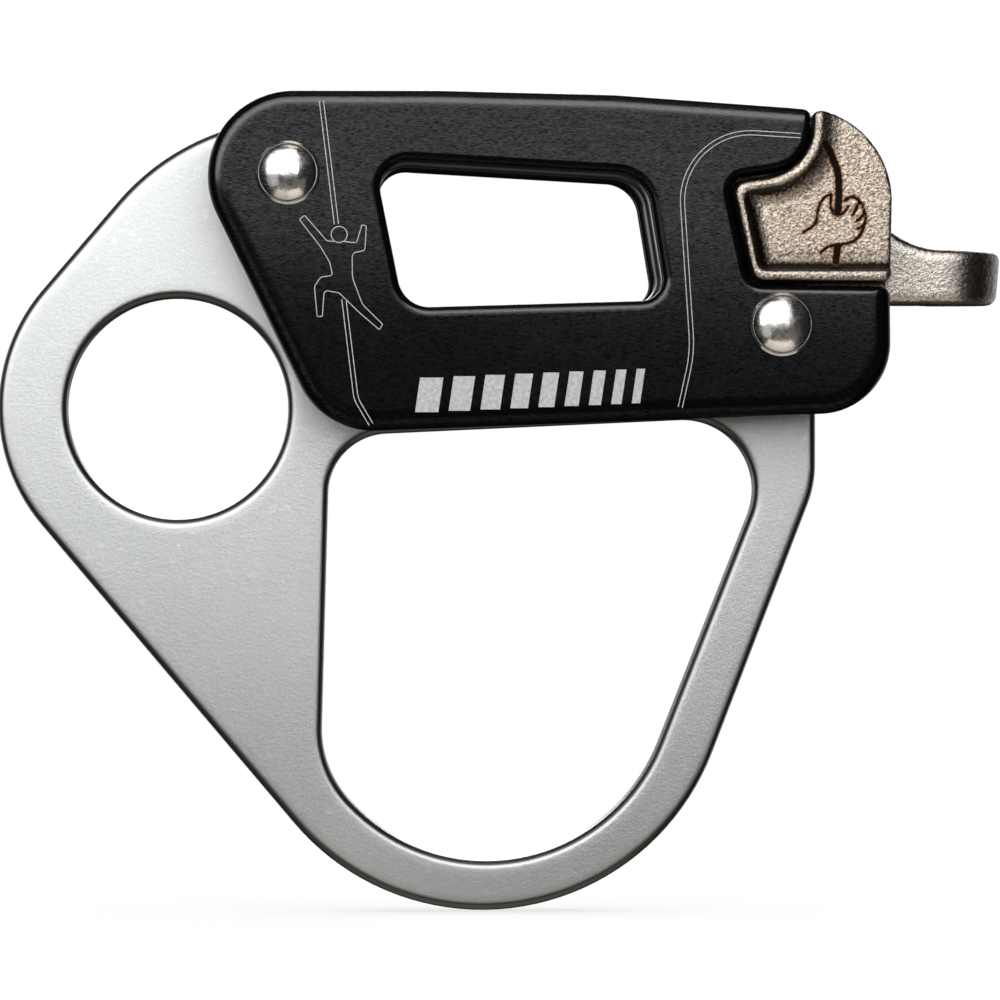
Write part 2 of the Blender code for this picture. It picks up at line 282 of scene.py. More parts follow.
def rolled_half(face, inward, fillet, roll, lean):
    """(inset, y) pairs from a flat face that rolls over softly, then turns a fillet into the wall."""
    sag = roll * math.tan(lean) / 2
    scale = fillet / (1 - math.sin(lean))
    half = [(fillet + roll + FLAT_BAND, face)]
    for step in range(ROLL_STEPS):
        share = step / ROLL_STEPS
        half.append((fillet + roll * (1 - share), face + inward * sag * share**2))
    for step in range(FILLET_STEPS + 1):
        angle = lean + (math.pi / 2 - lean) * step / FILLET_STEPS
        depth = sag + scale * (math.cos(lean) - math.cos(angle))
        half.append((scale * (1 - math.sin(angle)), face + inward * depth))
    return half


def rolled_profile(side):
    """A side plate's rim: soft outside and a plain small fillet inside."""
    outer = rolled_half(side * PLATE_OUTER, -side, OUTER_FILLET, OUTER_ROLL, ROLL_LEAN)
    inner = fillet_profile(side * PLATE_OUTER, side * PLATE_INNER, INNER_FILLET, INNER_FILLET)
    profile = outer + inner[-FILLET_STEPS - 2:]
    return profile if side < 0 else profile[::-1]


def add_wall(mesh, rings):
    """Skin a wall through rings of points and return its first and last edge rings."""
    vertex_rings = [[mesh.verts.new(Vector(point) * MM) for point in ring] for ring in rings]
    count = len(vertex_rings[0])
    for ring_a, ring_b in zip(vertex_rings, vertex_rings[1:]):
        for index in range(count):
            following = (index + 1) % count
            mesh.faces.new((ring_a[index], ring_a[following], ring_b[following], ring_b[index]))
    ends = []
    for ring in (vertex_rings[0], vertex_rings[-1]):
        ends.append([mesh.edges.get((ring[i], ring[(i + 1) % count])) for i in range(count)])
    return ends


def object_from(name, mesh, material=None, crease_degrees=40):
    bmesh.ops.recalc_face_normals(mesh, faces=mesh.faces)
    if mesh.calc_volume(signed=True) < 0:
        bmesh.ops.reverse_faces(mesh, faces=mesh.faces)
    data = bpy.data.meshes.new(name)
    mesh.to_mesh(data)
    mesh.free()
    if material is not None:
        data.materials.append(material)
    data.shade_smooth()
    data.set_sharp_from_angle(angle=math.radians(crease_degrees))
    made = bpy.data.objects.new(name, data)
    bpy.context.scene.collection.objects.link(made)
    return made


def make_plate(name, walls, material=None):
    """A plate from its walls; each wall is (outline function, profile of (inset, y))."""
    mesh = bmesh.new()
    front_edges = []
    back_edges = []
    for outline, profile in walls:
        rings = [[(x, y, z) for x, z in outline(inset)] for inset, y in profile]
        first, last = add_wall(mesh, rings)
        front_edges += first
        back_edges += last
    for edges in (front_edges, back_edges):
        bmesh.ops.triangle_fill(mesh, use_beauty=True, edges=edges)
    made = object_from(name, mesh, material)
    weighted = made.modifiers.new("weighted_normals", "WEIGHTED_NORMAL")
    weighted.keep_sharp = True
    return made


def make_turned(name, centre, profile, material=None, steps=TURNED_STEPS):
    """A solid of revolution about an axis along Y; profile is (radius, y) pairs."""
    mesh = bmesh.new()
    rings = [[(x, y, z) for x, z in circle_outline(centre, r, steps)] for r, y in profile]
    for end in add_wall(mesh, rings):
        bmesh.ops.edgeloop_fill(mesh, edges=end)
    return object_from(name, mesh, material)


def outline_wall(corners, profile, hole=False):
    sign = -1.0 if hole else 1.0
    return (lambda inset: rounded_outline(corners, sign * inset), profile)


def round_wall(centre, radius, profile, steps=BORE_STEPS):
    return (lambda inset: circle_outline(centre, radius + inset, steps), profile)


def place(piece, slot, *nodes):
    """Ride a piece on the body and let it stand for CAD nodes; its slot is not used."""
    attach(piece, "root")
    if nodes:
        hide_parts(*nodes)


# ---------------------------------------------------------------- material helpers


class Nodes:
    """Short calls for building one material's node tree."""

    def __init__(self, name):
        self.material = bpy.data.materials.new(name)
        self.material.use_nodes = True
        self.tree = self.material.node_tree
        self.shader = self.tree.nodes["Principled BSDF"]
        coordinates = self.add("ShaderNodeTexCoord")
        self.position = coordinates.outputs["Object"]
        self.normal = coordinates.outputs["Normal"]

    def add(self, kind, **values):
        node = self.tree.nodes.new(kind)
        for key, value in values.items():
            setattr(node, key, value)
        return node

    def link(self, source, target):
        self.tree.links.new(source, target)

    def feed(self, socket, value):
        if isinstance(value, (int, float)):
            socket.default_value = value
        elif isinstance(value, tuple):
            socket.default_value = (*value, 1.0)
        else:
            self.link(value, socket)

    def noise(self, fineness, detail=2.0, roughness=0.5, distortion=0.0, turn=0.0):
        """Noise with a fineness in features per metre, alike or one for each axis, turned about Y."""
        if isinstance(fineness, float):
            fineness = (fineness, fineness, fineness)
        mapping = self.add("ShaderNodeMapping")
        mapping.inputs["Scale"].default_value = fineness
        mapping.inputs["Rotation"].default_value = (0.0, turn, 0.0)
        self.link(self.position, mapping.inputs["Vector"])
        node = self.add("ShaderNodeTexNoise")
        self.link(mapping.outputs["Vector"], node.inputs["Vector"])
        node.inputs["Scale"].default_value = 1.0
        node.inputs["Detail"].default_value = detail
        node.inputs["Roughness"].default_value = roughness
        node.inputs["Distortion"].default_value = distortion
        return node.outputs["Fac"]

    def remap(self, value, low, high, to_low, to_high):
        node = self.add("ShaderNodeMapRange")
        self.link(value, node.inputs["Value"])
        limits = (low, high, to_low, to_high)
        for key, limit in zip(("From Min", "From Max", "To Min", "To Max"), limits):
            node.inputs[key].default_value = limit
        return node.outputs["Result"]

    def rise(self, value, low, high, top=1.0):
        """0 up to a low value, then rising to the top at a high one."""
        return self.remap(value, low, high, 0.0, top)

    def fall(self, value, low, high, top=1.0):
        """The top up to a low value, then falling to 0 at a high one."""
        return self.remap(value, low, high, top, 0.0)

    def mix_colour(self, factor, colour_a, colour_b):
        """Blend two colours. Inputs 6 and 7 and output 2 are the node's colour sockets."""
        node = self.add("ShaderNodeMix", data_type="RGBA")
        self.feed(node.inputs["Factor"], factor)
        self.feed(node.inputs[6], colour_a)
        self.feed(node.inputs[7], colour_b)
        return node.outputs[2]

    def maths(self, operation, value_a, value_b=0.0):
        node = self.add("ShaderNodeMath", operation=operation)
        self.feed(node.inputs[0], value_a)
        self.feed(node.inputs[1], value_b)
        return node.outputs["Value"]

    def product(self, value_a, value_b):
        return self.maths("MULTIPLY", value_a, value_b)

    def total(self, value_a, value_b):
        return self.maths("ADD", value_a, value_b)

    def larger(self, value_a, value_b):
        return self.maths("MAXIMUM", value_a, value_b)

    def along(self, vector, axis):
        """One coordinate of a vector."""
        node = self.add("ShaderNodeSeparateXYZ")
        self.link(vector, node.inputs["Vector"])
        return node.outputs[axis]

    def facing(self):
        """1 on faces square to the line of sight along Y, and 0 on the walls between them."""
        return self.maths("ABSOLUTE", self.along(self.normal, "Y"))

    def bump(self, height, strength, distance, below=None):
        node = self.add("ShaderNodeBump")
        node.inputs["Strength"].default_value = strength
        node.inputs["Distance"].default_value = distance
        self.link(height, node.inputs["Height"])
        if below is not None:
            self.link(below, node.inputs["Normal"])
        return node.outputs["Normal"]

    def finish(self, colour, roughness, metallic, normal=None):
        self.feed(self.shader.inputs["Base Color"], colour)
        self.feed(self.shader.inputs["Roughness"], roughness)
        self.feed(self.shader.inputs["Metallic"], metallic)
        if normal is not None:
            self.link(normal, self.shader.inputs["Normal"])
        return self.material


# ---------------------------------------------------------------- materials


def black_anodised():
    """Black anodising over fine horizontal brushing, with a painted highlight along its upper edges and
    painted shade on its steep outer fillets and right-hand edges.
    """
    nodes = Nodes("black_anodised")
    dashes = nodes.noise((1900.0, 1900.0, 10500.0), detail=4.0, roughness=0.65, distortion=0.3)
    waves = nodes.noise((700.0, 700.0, 3500.0), distortion=0.5)
    patches = nodes.noise(60.0, detail=3.0)
    grain = nodes.total(nodes.product(dashes, 0.82), nodes.product(waves, 0.18))
    sheen = nodes.rise(grain, 0.38, 0.62)
    colour = nodes.mix_colour(sheen, (0.0012, 0.0016, 0.0022), (0.0050, 0.0056, 0.0066))
    rough = nodes.remap(patches, 0.3, 0.7, 0.13, 0.17)

    # A slight crown, bent about a height near the plate's top and stronger at the left.
    crown_height = 0.040
    from_crown = nodes.maths("SUBTRACT", nodes.along(nodes.position, "Z"), crown_height)
    bend = nodes.remap(nodes.along(nodes.position, "X"), -0.035, 0.040, -1.35, -0.60)
    crown = nodes.product(nodes.product(from_crown, from_crown), bend)
    normal = nodes.bump(crown, 1.0, 1.0)
    normal = nodes.bump(waves, 0.05, 0.00005, normal)
    normal = nodes.bump(dashes, 0.12, 0.00003, normal)

    # Painted highlight: the specular level is raised and warmed on the fillets of edges that face up and
    # left, where the key light falls.
    facing = nodes.facing()
    right = nodes.along(nodes.normal, "X")
    up = nodes.along(nodes.normal, "Z")
    up_left = nodes.maths("SUBTRACT", up, right)
    mostly_up = nodes.maths("SUBTRACT", up, nodes.product(right, 0.55))
    edge = nodes.product(nodes.rise(facing, 0.82, 0.92), nodes.fall(facing, 0.955, 0.999))
    wear_and_painted_highlight = nodes.product(edge, nodes.rise(mostly_up, 0.06, 0.24))
    level = nodes.total(nodes.remap(sheen, 0.0, 1.0, 0.04, 0.48), wear_and_painted_highlight)
    # Painted shade: the specular level is cut on the steep outer fillets and on edges that face right or
    # down.
    level = nodes.product(level, nodes.remap(facing, 0.70, 0.86, 0.08, 1.0))
    level = nodes.product(level, nodes.remap(up_left, -0.20, -0.02, 0.30, 1.0))
    nodes.link(level, nodes.shader.inputs["Specular IOR Level"])
    tint = nodes.mix_colour(wear_and_painted_highlight, (0.91, 0.965, 1.0), (1.0, 0.94, 0.87))
    nodes.link(tint, nodes.shader.inputs["Specular Tint"])
    return nodes.finish(colour, rough, 0.2, normal)


def matte_silver():
    """Natural anodising over a fine blasted surface, with painted shade on edges and on faces that look
    down.
    """
    nodes = Nodes("matte_silver")
    fine = nodes.noise(5200.0, detail=3.0, roughness=0.6)
    drawn = nodes.noise((2200.0, 2200.0, 2600.0), detail=3.0)
    cloud = nodes.noise(45.0)
    speck = nodes.rise(nodes.noise(700.0, detail=1.0), 0.70, 0.76)
    shade = nodes.mix_colour(nodes.rise(fine, 0.3, 0.7), (0.585, 0.605, 0.592), (0.705, 0.725, 0.712))
    shade = nodes.mix_colour(nodes.product(speck, 0.35), shade, (0.86, 0.87, 0.86))
    # Painted shade: faces that look down and the steep part of every fillet are darkened nearly to
    # black.
    below = nodes.fall(nodes.along(nodes.normal, "Z"), -0.24, -0.04, 0.97)
    facing = nodes.facing()
    edge = nodes.product(nodes.fall(facing, 0.86, 0.988), nodes.remap(facing, 0.10, 0.30, 0.5, 0.95))
    shade = nodes.mix_colour(nodes.larger(below, edge), shade, (0.05, 0.05, 0.048))
    rough = nodes.remap(cloud, 0.3, 0.7, 0.35, 0.39)
    normal = nodes.bump(fine, 0.30, 0.00004)
    normal = nodes.bump(drawn, 0.35, 0.00004, normal)
    return nodes.finish(shade, rough, 0.92, normal)


# Distances from the middle, along Y, over which the casting's colour changes, in metres.
OUT_OF_CHANNEL = (0.0128, 0.0135)
INSIDE_CHEEK = (0.0145, 0.0150)
ON_CHEEK_RIM = (0.0172, 0.0178)


def cast_grain(nodes, coarse):
    """Sandy steel that is rubbed brighter along the nose."""
    sandy = nodes.rise(coarse, 0.35, 0.65)
    cloud = nodes.noise(220.0)
    warm = nodes.mix_colour(sandy, (0.31, 0.25, 0.20), (0.90, 0.765, 0.64))
    warm = nodes.mix_colour(nodes.rise(cloud, 0.3, 0.7, 0.2), warm, (0.50, 0.42, 0.33))
    rubbed = nodes.rise(nodes.along(nodes.position, "X"), 0.0415, 0.0430, 0.88)
    bright = nodes.mix_colour(sandy, (0.86, 0.78, 0.69), (1.0, 0.965, 0.90))
    return nodes.mix_colour(rubbed, warm, bright)


def cast_painted_shade(nodes, coarse, across):
    """How far painted shade covers the slopes, the recess, the nose's end and the panel's foot, and its
    colour.
    """
    ahead = nodes.along(nodes.position, "X")
    facing = nodes.facing()
    on_nose = nodes.rise(ahead, 0.0405, 0.0420)
    recess = nodes.product(nodes.rise(across, *OUT_OF_CHANNEL), nodes.rise(facing, 0.08, 0.25))
    colour = nodes.mix_colour(on_nose, (0.24, 0.20, 0.17), (0.055, 0.042, 0.034))
    colour = nodes.mix_colour(recess, colour, (0.016, 0.011, 0.008))

    uneven = nodes.total(facing, nodes.remap(coarse, 0.3, 0.7, -0.06, 0.06))
    slope = nodes.product(nodes.fall(uneven, 0.74, 0.995), nodes.remap(recess, 0.0, 1.0, 0.96, 1.0))
    tip = nodes.total(ahead, nodes.remap(coarse, 0.3, 0.7, -0.0007, 0.0007))
    nose_end = nodes.rise(tip, 0.0482, 0.0508, 0.94)
    up = nodes.along(nodes.position, "Z")
    height = nodes.total(up, nodes.remap(coarse, 0.3, 0.7, -0.0003, 0.0003))
    foot = nodes.product(nodes.fall(height, 0.0258, 0.0277, 0.92), nodes.fall(across, *ON_CHEEK_RIM))
    foot = nodes.product(foot, nodes.rise(across, *INSIDE_CHEEK))
    return nodes.larger(nodes.larger(slope, nose_end), foot), colour


def cast_steel():
    """Warm cast stainless steel with a sandy grain, a burnt-in mark and painted shade on its slopes and
    edges.
    """
    nodes = Nodes("cast_steel")
    coarse = nodes.noise(3300.0, detail=3.0, roughness=0.6)
    fine = nodes.noise(9000.0)
    across = nodes.maths("ABSOLUTE", nodes.along(nodes.position, "Y"))
    # Painted shade: the slopes, the recess, the nose's end and the panel's foot are darkened in the base
    # colour.
    cover, painted_shade_colour = cast_painted_shade(nodes, coarse, across)
    warm = nodes.mix_colour(cover, cast_grain(nodes, coarse), painted_shade_colour)
    warm = nodes.mix_colour(nodes.rise(across, *ON_CHEEK_RIM, 0.22), warm, (0.26, 0.235, 0.215))

    # The mark's edge is ragged: a black line with a brown halo round it, by distance in millimetres.
    mark = nodes.add("ShaderNodeAttribute", attribute_name="mark_distance").outputs["Fac"]
    ragged = nodes.total(mark, nodes.remap(coarse, 0.2, 0.8, -0.09, 0.09))
    line = nodes.fall(ragged, 0.00, 0.09)
    colour = nodes.mix_colour(nodes.fall(ragged, 0.05, 0.32, 0.80), warm, (0.33, 0.125, 0.025))
    colour = nodes.mix_colour(line, colour, (0.006, 0.003, 0.002))
    metallic = nodes.remap(line, 0.0, 1.0, 0.95, 0.2)
    nodes.link(nodes.remap(line, 0.0, 1.0, 0.5, 0.12), nodes.shader.inputs["Specular IOR Level"])
    rough = nodes.larger(nodes.remap(fine, 0.3, 0.7, 0.24, 0.36), nodes.product(line, 0.7))
    normal = nodes.bump(coarse, 0.90, 0.00013)
    normal = nodes.bump(fine, 0.35, 0.00004, normal)
    return nodes.finish(colour, rough, metallic, normal)


def polished_steel():
    """Rivet steel polished by forming, with scratches, scuffs, shallow dents and painted shade where it
    turns away from the front.
    """
    nodes = Nodes("polished_steel")
    dents = nodes.noise(900.0)
    scuffs = nodes.noise(2600.0, detail=3.0, roughness=0.7)
    patches = nodes.noise(420.0)
    streak = (700.0, 700.0, 14000.0)
    one_way = nodes.noise(streak, detail=1.0, turn=0.6)
    other_way = nodes.noise(streak, detail=1.0, turn=-0.9)
    scratches = nodes.larger(one_way, other_way)
    wear_and_painted_highlight = nodes.product(nodes.rise(patches, 0.42, 0.62), nodes.remap(scuffs, 0.4, 0.6, 0.3, 1.0))
    marks = nodes.larger(nodes.rise(scratches, 0.62, 0.72), wear_and_painted_highlight)
    rough = nodes.remap(marks, 0.0, 1.0, 0.17, 0.36)
    colour = nodes.mix_colour(marks, (0.74, 0.73, 0.71), (0.56, 0.55, 0.53))
    # Painted shade: the steel darkens where its surface turns away from the front.
    colour = nodes.mix_colour(nodes.fall(nodes.facing(), 0.50, 0.86, 0.80), colour, (0.09, 0.085, 0.08))
    normal = nodes.bump(dents, 0.30, 0.00015)
    normal = nodes.bump(scuffs, 0.20, 0.00003, normal)
    normal = nodes.bump(scratches, 0.10, 0.00004, normal)
    return nodes.finish(colour, rough, 1.0, normal)


def turned_aluminium():
    """Satin turned aluminium with rings round the spacer."""
    nodes = Nodes("turned_aluminium")
    rings = nodes.noise((150.0, 5000.0, 150.0))
    rough = nodes.remap(rings, 0.3, 0.7, 0.28, 0.42)
    colour = nodes.mix_colour(nodes.rise(rings, 0.3, 0.7), (0.60, 0.61, 0.60), (0.74, 0.75, 0.74))
    normal = nodes.bump(rings, 0.3, 0.00005)
    return nodes.finish(colour, rough, 1.0, normal)


def laser_mark():
    """Light grey laser engraving, slightly uneven."""
    nodes = Nodes("laser_mark")
    uneven = nodes.noise(2500.0, detail=3.0)
    colour = nodes.mix_colour(nodes.rise(uneven, 0.3, 0.75), (0.62, 0.63, 0.63), (0.36, 0.37, 0.38))
    normal = nodes.bump(uneven, 0.2, 0.00003)
    return nodes.finish(colour, 0.6, 0.1, normal)


BLACK = black_anodised()
SILVER = matte_silver()
STEEL = cast_steel()
POLISHED = polished_steel()
TURNED = turned_aluminium()
MARK = laser_mark()

# ---------------------------------------------------------------- plates and bracket


def side_plate(name, side):
    ends = sorted((side * PLATE_INNER, side * PLATE_OUTER))
    window_fillets = (WINDOW_FILLET, INNER_FILLET)[::-side]
    bore = fillet_profile(*ends, BORE_FILLET, BORE_FILLET)
    walls = [
        (lambda inset: rounded_outline(SIDE_PLATE, inset, narrow=CUT_OUT_EDGES), rolled_profile(side)),
        outline_wall(WINDOW, fillet_profile(*ends, *window_fillets), hole=True),
        round_wall(LEFT_RIVET, BORE_RADIUS, bore),
        round_wall(RIGHT_RIVET, BORE_RADIUS, bore),
    ]
    return make_plate(name, walls, BLACK)


def centre_bracket():
    rim = (BRACKET_FILLET, BRACKET_ROLL, BRACKET_LEAN)
    profile = rolled_half(-BRACKET_FACE, 1, *rim) + rolled_half(BRACKET_FACE, -1, *rim)[::-1]
    bore = fillet_profile(-BRACKET_FACE, BRACKET_FACE, BORE_FILLET, BORE_FILLET)
    walls = [
        outline_wall(BRACKET, profile),
        outline_wall(LOOP_HOLE, profile, hole=True),
        outline_wall(WINDOW, profile, hole=True),
        round_wall(EYE_CENTRE, EYE_RADIUS, profile, EYE_STEPS),
        round_wall(LEFT_RIVET, BORE_RADIUS, bore),
        round_wall(RIGHT_RIVET, BORE_RADIUS, bore),
    ]
    return make_plate("bracket_plate", walls, SILVER)


place(side_plate("front_plate", -1), "side_plate", "front_side_plate")
place(side_plate("rear_plate", 1), "side_plate", "rear_side_plate")
place(centre_bracket(), "bracket", "centre_bracket")

# ---------------------------------------------------------------- rivets and spacers


def rivet_profile(side):
    """(radius, y) from the crown to the seat: a dome with a fine groove near its rim, then the shank."""
    seat = PLATE_OUTER + CLEARANCE
    lip = 0.20
    flange_fall = 0.19
    rim = seat + lip + flange_fall
    height = HEAD_TOP - seat - lip - flange_fall
    dome_share = 0.89
    groove_half_share = 0.015
    round_share = 0.42
    edge = 0.05
    lip_edge = 0.08
    lip_round = 0.02
    steps = 34
    profile = []
    for angle in quarter_turn(steps)[1:]:
        share = math.sin(angle)
        dome = round_share * math.cos(angle) + (1 - round_share) * (1 - share**2)
        profile.append((FORMED_RADIUS * dome_share * share, side * (rim + height * dome)))
    return profile + [
        (FORMED_RADIUS * (dome_share + groove_half_share), side * (rim - edge)),
        (FORMED_RADIUS * (dome_share + 2 * groove_half_share), side * rim),
        (FORMED_RADIUS - lip_edge, side * (seat + lip)),
        (FORMED_RADIUS - lip_round, side * (seat + lip - edge)),
        (FORMED_RADIUS, side * (seat + edge)),
        (FORMED_RADIUS - edge, side * seat),
        (SHANK_RADIUS, side * seat),
    ]


def spacer_walls(side):
    ends = sorted((side * SPACER_INNER, side * SPACER_OUTER))
    rim_fillet = 0.4
    bore_fillet = 0.15
    rim = fillet_profile(*ends, rim_fillet, rim_fillet)
    bore = fillet_profile(*ends, bore_fillet, bore_fillet)
    return [
        (lambda inset: circle_outline(LEFT_RIVET, SPACER_RADIUS - inset, TURNED_STEPS), rim),
        round_wall(LEFT_RIVET, BORE_RADIUS, bore),
    ]


for node, centre in (("left_rivet", LEFT_RIVET), ("right_rivet", RIGHT_RIVET)):
    whole = rivet_profile(-1) + rivet_profile(1)[::-1]
    place(make_turned(f"{node}_formed", centre, whole, POLISHED), "rivet", node)
for node, side in (("left_front_spacer", -1), ("left_rear_spacer", 1)):
    place(make_plate(f"{node}_turned", spacer_walls(side), TURNED), "spacer", node)

# ---------------------------------------------------------------- brake saddle


def groove_depth(y):
    """How far the core's outline is drawn in at a station across the device."""
    round_bottom = 1.6
    bottom_rise = 0.45
    ridge_drop = 1.2
    away = abs(abs(y) - CHANNEL_CENTRE)
    if away < round_bottom:
        return GROOVE_DEPTH - bottom_rise * (away / round_bottom) ** 2
    start = GROOVE_DEPTH - bottom_rise
    half_channel = PLATE_INNER - CHANNEL_CENTRE
    fall = min((away - round_bottom) / (half_channel - round_bottom), 1.0)
    crest = 0.0 if abs(y) > CHANNEL_CENTRE else ridge_drop
    return start + (crest - start) * fall


def core_outline(depth):
    side = depth * GROOVE_SIDE_SHARE
    corner = CORE_CORNER - side
    corners = [
        (CORE_LEFT + side, CORE_TOP - depth, corner),
        (CORE_RIGHT - side, CORE_TOP - depth, corner),
        (CORE_RIGHT - side, CORE_BOTTOM, 1.0),
        (CORE_LEFT + side, CORE_BOTTOM, 1.5),
    ]
    return rounded_outline(corners, arc_step=COARSE_ARC)


def saddle_core():
    edge = PLATE_INNER - CLEARANCE
    steps = 54
    stations = [-edge + 2 * edge * step / steps for step in range(steps + 1)]
    mesh = bmesh.new()
    rings = [[(x, y, z) for x, z in core_outline(groove_depth(y))] for y in stations]
    for end in add_wall(mesh, rings):
        bmesh.ops.edgeloop_fill(mesh, edges=end)
    return object_from("saddle_core", mesh)


def prism_from(name, corners, profile, turn_up=False):
    """A rounded block whose edge follows a profile along Y, or stands upright for a plan outline."""
    mesh = bmesh.new()
    rings = [[(x, y, z) for x, z in rounded_outline(corners, inset)] for inset, y in profile]
    for edges in add_wall(mesh, rings):
        bmesh.ops.triangle_fill(mesh, use_beauty=True, edges=edges)
    if turn_up:
        quarter = Matrix.Rotation(math.radians(-90), 4, "X")
        bmesh.ops.transform(mesh, matrix=quarter, verts=mesh.verts)
    return object_from(name, mesh)


def prism(name, corners, ends, fillets=None):
    profile = fillet_profile(*ends, *fillets) if fillets else [(0.0, ends[0]), (0.0, ends[1])]
    return prism_from(name, corners, profile)


def combine(target, tool, operation):
    """Apply one exact Boolean and drop its tool."""
    modifier = target.modifiers.new("combine", "BOOLEAN")
    modifier.operation = operation
    modifier.solver = "EXACT"
    modifier.object = tool
    bake_modifiers(target)
    bpy.data.objects.remove(tool)


def bake_modifiers(target):
    graph = bpy.context.evaluated_depsgraph_get()
    graph.update()
    baked = bpy.data.meshes.new_from_object(target.evaluated_get(graph), depsgraph=graph)
    target.modifiers.clear()
    target.data = baked


def nose_draft(height):
    """How much narrower the nose is at a height than at its top."""
    return NOSE_DRAFT * (NOSE_TOP - height) / (NOSE_TOP - NOSE_BOTTOM)


def saddle_nose():
    """Root with a hollow back and a flat tongue with a round end, both narrower towards the bottom."""
    half = NOSE_HALF_WIDTH
    nose = prism("nose_root", NOSE_ROOT, (-half, half), (NOSE_EDGE, NOSE_EDGE))
    for vertex in nose.data.vertices:
        vertex.co.y *= 1 - (nose_draft(vertex.co.z / MM) + HAIR) / half
    left = NOSE_TIP - TONGUE_LENGTH
    plan = [
        (left, half, SMALLEST_RADIUS),
        (NOSE_TIP, half, half - HAIR),
        (NOSE_TIP, -half, half - HAIR),
        (left, -half, SMALLEST_RADIUS),
    ]
    profile = []
    for inset, height in fillet_profile(-NOSE_TOP, -NOSE_BOTTOM, NOSE_EDGE, NOSE_EDGE):
        profile.append((inset + nose_draft(-height), height))
    tongue = prism_from("nose_tongue", plan, profile, turn_up=True)
    for vertex in tongue.data.vertices:
        rise = (vertex.co.z / MM - NOSE_BOTTOM) / (NOSE_TOP - NOSE_BOTTOM)
        vertex.co.z -= NOSE_FALL * rise * (vertex.co.x - (NOSE_TIP - TONGUE_FALL_LENGTH) * MM)
    combine(nose, tongue, "UNION")
    return nose


def nose_eye():
    """Tool for the upright eye, which flares at both mouths."""
    centre = (NOSE_TIP - NOSE_HALF_WIDTH, 0.0)
    radius = NOSE_EYE_RADIUS
    low, high = 21.5, 27.45
    flare = 0.6
    turn = quarter_turn(6)
    profile = [(radius + flare * 3, -(high + flare * 2)), (radius + flare, -high)]
    for angle in turn[1:]:
        profile.append((radius + flare * (1 - math.sin(angle)), -high + flare * (1 - math.cos(angle))))
    for angle in turn:
        profile.append((radius + flare * (1 - math.cos(angle)), -low - flare * (1 - math.sin(angle))))
    profile.append((radius + flare * 3, -(low - flare * 2)))
    cutter = make_turned("nose_eye", centre, profile, steps=64)
    cutter.data.transform(Matrix.Rotation(math.radians(-90), 4, "X"))
    return cutter


def panel_cutter(side):
    """Tool for the sunk panel: a steep rim that curves into a slightly tilted floor."""
    steps = 8
    overrun = 1.0
    rings = [[(x, side * (PLATE_OUTER + overrun), z) for x, z in rounded_outline(PANEL_RIM)]]
    for step in range(steps + 1):
        spread = step / steps
        drop = 1 - (1 - spread) ** PANEL_STEEPNESS
        corners = []
        for rim, floor in zip(PANEL_RIM, PANEL_FLOOR):
            corners.append(tuple(a + (b - a) * spread for a, b in zip(rim, floor)))
        ring = []
        for x, z in rounded_outline(corners):
            depth = PANEL_DEPTH - PANEL_TILT * (z - PANEL_RIM[2][1])
            ring.append((x, side * (PLATE_OUTER - depth * drop), z))
        rings.append(ring)
    mesh = bmesh.new()
    for edges in add_wall(mesh, rings):
        bmesh.ops.triangle_fill(mesh, use_beauty=True, edges=edges)
    return object_from("panel_cutter", mesh)


def saddle_solid():
    """The casting's sharp solid, before its surface is softened."""
    overlap = 1.0
    hidden_fillet = 0.05
    saddle = saddle_core()
    left = RIGHT_RIVET[0] - LUG_HALF_WIDTH
    right = RIGHT_RIVET[0] + LUG_HALF_WIDTH
    top = CORE_BOTTOM + LUG_OVERLAP
    bottom = RIGHT_RIVET[1] - LUG_HALF_WIDTH
    round_end = LUG_HALF_WIDTH - HAIR
    lug = [(left, top, 0.3), (right, top, 0.3), (right, bottom, round_end), (left, bottom, round_end)]
    for side in (-1, 1):
        lug_ends = sorted((side * SPACER_INNER, side * SPACER_OUTER))
        combine(saddle, prism("lug", lug, lug_ends), "UNION")
        ledge_ends = sorted((side * (SPACER_OUTER - LEDGE_DEPTH), side * SPACER_OUTER))
        combine(saddle, prism("ledge", LEDGE, ledge_ends), "UNION")
        cheek_ends = sorted((side * (PLATE_INNER - overlap), side * PLATE_OUTER))
        cheek = prism("cheek", CHEEK, cheek_ends, (CHEEK_FILLET, hidden_fillet)[::-side])
        combine(cheek, panel_cutter(side), "DIFFERENCE")
        combine(saddle, cheek, "UNION")
    combine(saddle, saddle_nose(), "UNION")
    bore_reach = 20.0
    bore = make_turned("bore", RIGHT_RIVET, [(BORE_RADIUS, -bore_reach), (BORE_RADIUS, bore_reach)])
    combine(saddle, bore, "DIFFERENCE")
    combine(saddle, nose_eye(), "DIFFERENCE")
    return saddle


ROPE_MARK_HALF = 0.34
LINE_MARK_HALF = 0.11
OFF_THE_MARK = 9.0


def smooth_path(points, steps=6):
    """Catmull-Rom curve through 2-D points."""
    last = len(points) - 1
    path = []
    for span in range(last):
        ids = [min(max(index, 0), last) for index in range(span - 1, span + 3)]
        p0, p1, p2, p3 = (Vector(points[index]) for index in ids)
        for step in range(steps):
            t = step / steps
            point = 2 * p1 + (p2 - p0) * t + (2 * p0 - 5 * p1 + 4 * p2 - p3) * t**2
            point += (3 * p1 - 3 * p2 + p3 - p0) * t**3
            path.append(tuple(point / 2))
    path.append(tuple(points[-1]))
    return path


